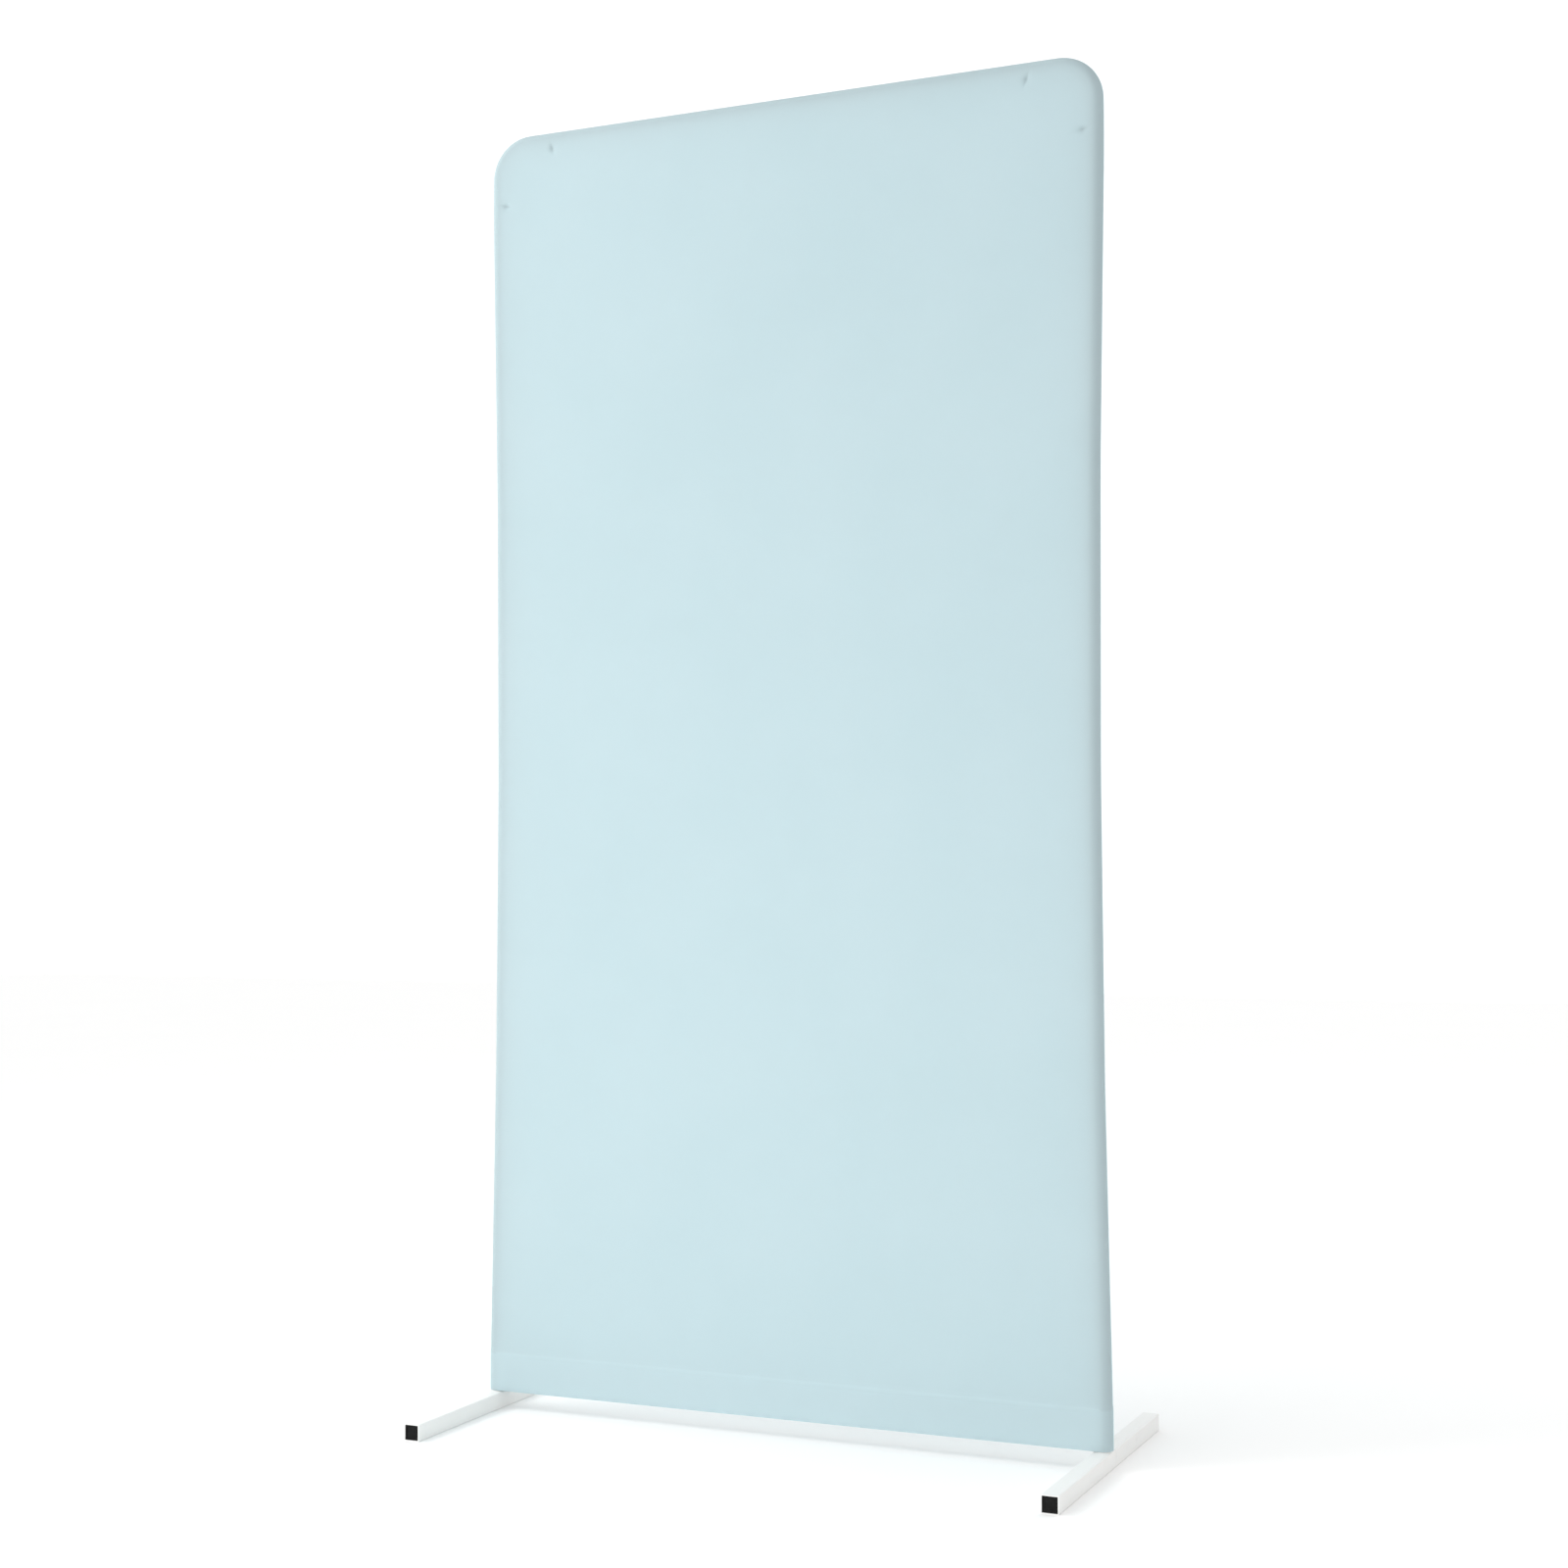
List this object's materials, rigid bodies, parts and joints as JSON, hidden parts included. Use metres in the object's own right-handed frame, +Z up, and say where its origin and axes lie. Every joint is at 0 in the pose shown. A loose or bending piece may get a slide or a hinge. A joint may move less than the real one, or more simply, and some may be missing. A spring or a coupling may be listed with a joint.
{
  "type": "partition wall",
  "caption": "Free-standing partition wall: a stretched pillowcase cloth cover over a knock-down round-tube arch, standing on two square-tube feet with black end plugs.",
  "frame": {"origin": "on the floor, midway between the two feet and in the middle of the wall's thickness", "axes": "+X along the wall to the right as seen from the front, +Y towards the back, +Z up"},
  "size_m": [1.0032, 0.5, 2],
  "materials": {
    "cover_cloth": "pale ice-blue stretch knit, matt with a faint sheen",
    "seam_thread": "overlocked edge in matching thread",
    "white_powder_coat": "satin white powder coat on steel",
    "plug_plastic": "black moulded polyethylene, fine satin",
    "tube_alloy": "drawn, lightly brushed along the tube",
    "spring_steel": "nickel-plated spring steel"
  },
  "bodies": {
    "frame": {"left_foot": "white_powder_coat", "right_foot": "white_powder_coat", "left_front_plug": "plug_plastic", "left_back_plug": "plug_plastic", "right_front_plug": "plug_plastic", "right_back_plug": "plug_plastic", "left_post": "white_powder_coat", "right_post": "white_powder_coat", "left_weld": "white_powder_coat", "right_weld": "white_powder_coat", "left_upright_1": "tube_alloy", "left_upright_2": "tube_alloy", "left_upright_3": "tube_alloy", "left_upright_4": "tube_alloy", "right_upright_1": "tube_alloy", "right_upright_2": "tube_alloy", "right_upright_3": "tube_alloy", "right_upright_4": "tube_alloy", "left_corner": "tube_alloy", "right_corner": "tube_alloy", "left_rail": "tube_alloy", "right_rail": "tube_alloy", "left_spring_1": "spring_steel", "left_spring_2": "spring_steel", "left_spring_3": "spring_steel", "left_spring_4": "spring_steel", "left_spring_5": "spring_steel", "right_spring_1": "spring_steel", "right_spring_2": "spring_steel", "right_spring_3": "spring_steel", "right_spring_4": "spring_steel", "right_spring_5": "spring_steel", "left_rail_spring": "spring_steel", "right_rail_spring": "spring_steel", "middle_spring": "spring_steel"},
    "cover": {"cover_front": "cover_cloth", "cover_back": "cover_cloth", "cover_seam": "seam_thread"},
    "left_button_1": {"left_button_1": "spring_steel"},
    "left_button_2": {"left_button_2": "spring_steel"},
    "left_button_3": {"left_button_3": "spring_steel"},
    "left_button_4": {"left_button_4": "spring_steel"},
    "left_button_5": {"left_button_5": "spring_steel"},
    "right_button_1": {"right_button_1": "spring_steel"},
    "right_button_2": {"right_button_2": "spring_steel"},
    "right_button_3": {"right_button_3": "spring_steel"},
    "right_button_4": {"right_button_4": "spring_steel"},
    "right_button_5": {"right_button_5": "spring_steel"},
    "left_rail_button": {"left_rail_button": "spring_steel"},
    "right_rail_button": {"right_rail_button": "spring_steel"},
    "middle_button": {"middle_button": "spring_steel"}
  },
  "joints": [
    {"name": "cover_lift", "type": "slide", "parent": "frame", "child": "cover", "axis": [0, 0, 1], "range_m": [0, 2]},
    {"name": "left_button_1_press", "type": "slide", "parent": "frame", "child": "left_button_1", "axis": [-0.9998, 0, 0.0186], "range_m": [0, 0.0035], "stiffness_N_per_m": 1500, "springref_m": -0.002, "deforming": ["left_spring_1"]},
    {"name": "left_button_2_press", "type": "slide", "parent": "frame", "child": "left_button_2", "axis": [-1, 0, 0.0062], "range_m": [0, 0.0035], "stiffness_N_per_m": 1500, "springref_m": -0.002, "deforming": ["left_spring_2"]},
    {"name": "left_button_3_press", "type": "slide", "parent": "frame", "child": "left_button_3", "axis": [-1, 0, -0.0062], "range_m": [0, 0.0035], "stiffness_N_per_m": 1500, "springref_m": -0.002, "deforming": ["left_spring_3"]},
    {"name": "left_button_4_press", "type": "slide", "parent": "frame", "child": "left_button_4", "axis": [-0.9998, 0, -0.0186], "range_m": [0, 0.0035], "stiffness_N_per_m": 1500, "springref_m": -0.002, "deforming": ["left_spring_4"]},
    {"name": "left_button_5_press", "type": "slide", "parent": "frame", "child": "left_button_5", "axis": [-1, 0, 0], "range_m": [0, 0.0035], "stiffness_N_per_m": 1500, "springref_m": -0.002, "deforming": ["left_spring_5"]},
    {"name": "right_button_1_press", "type": "slide", "parent": "frame", "child": "right_button_1", "axis": [0.9998, 0, 0.0186], "range_m": [0, 0.0035], "stiffness_N_per_m": 1500, "springref_m": -0.002, "deforming": ["right_spring_1"]},
    {"name": "right_button_2_press", "type": "slide", "parent": "frame", "child": "right_button_2", "axis": [1, 0, 0.0062], "range_m": [0, 0.0035], "stiffness_N_per_m": 1500, "springref_m": -0.002, "deforming": ["right_spring_2"]},
    {"name": "right_button_3_press", "type": "slide", "parent": "frame", "child": "right_button_3", "axis": [1, 0, -0.0062], "range_m": [0, 0.0035], "stiffness_N_per_m": 1500, "springref_m": -0.002, "deforming": ["right_spring_3"]},
    {"name": "right_button_4_press", "type": "slide", "parent": "frame", "child": "right_button_4", "axis": [0.9998, 0, -0.0186], "range_m": [0, 0.0035], "stiffness_N_per_m": 1500, "springref_m": -0.002, "deforming": ["right_spring_4"]},
    {"name": "right_button_5_press", "type": "slide", "parent": "frame", "child": "right_button_5", "axis": [1, 0, 0], "range_m": [0, 0.0035], "stiffness_N_per_m": 1500, "springref_m": -0.002, "deforming": ["right_spring_5"]},
    {"name": "left_rail_button_press", "type": "slide", "parent": "frame", "child": "left_rail_button", "axis": [0, 0, 1], "range_m": [0, 0.0035], "stiffness_N_per_m": 1500, "springref_m": -0.002, "deforming": ["left_rail_spring"]},
    {"name": "right_rail_button_press", "type": "slide", "parent": "frame", "child": "right_rail_button", "axis": [0, 0, 1], "range_m": [0, 0.0035], "stiffness_N_per_m": 1500, "springref_m": -0.002, "deforming": ["right_rail_spring"]},
    {"name": "middle_button_press", "type": "slide", "parent": "frame", "child": "middle_button", "axis": [0, 0, 1], "range_m": [0, 0.0035], "stiffness_N_per_m": 1500, "springref_m": -0.002, "deforming": ["middle_spring"]}
  ]
}
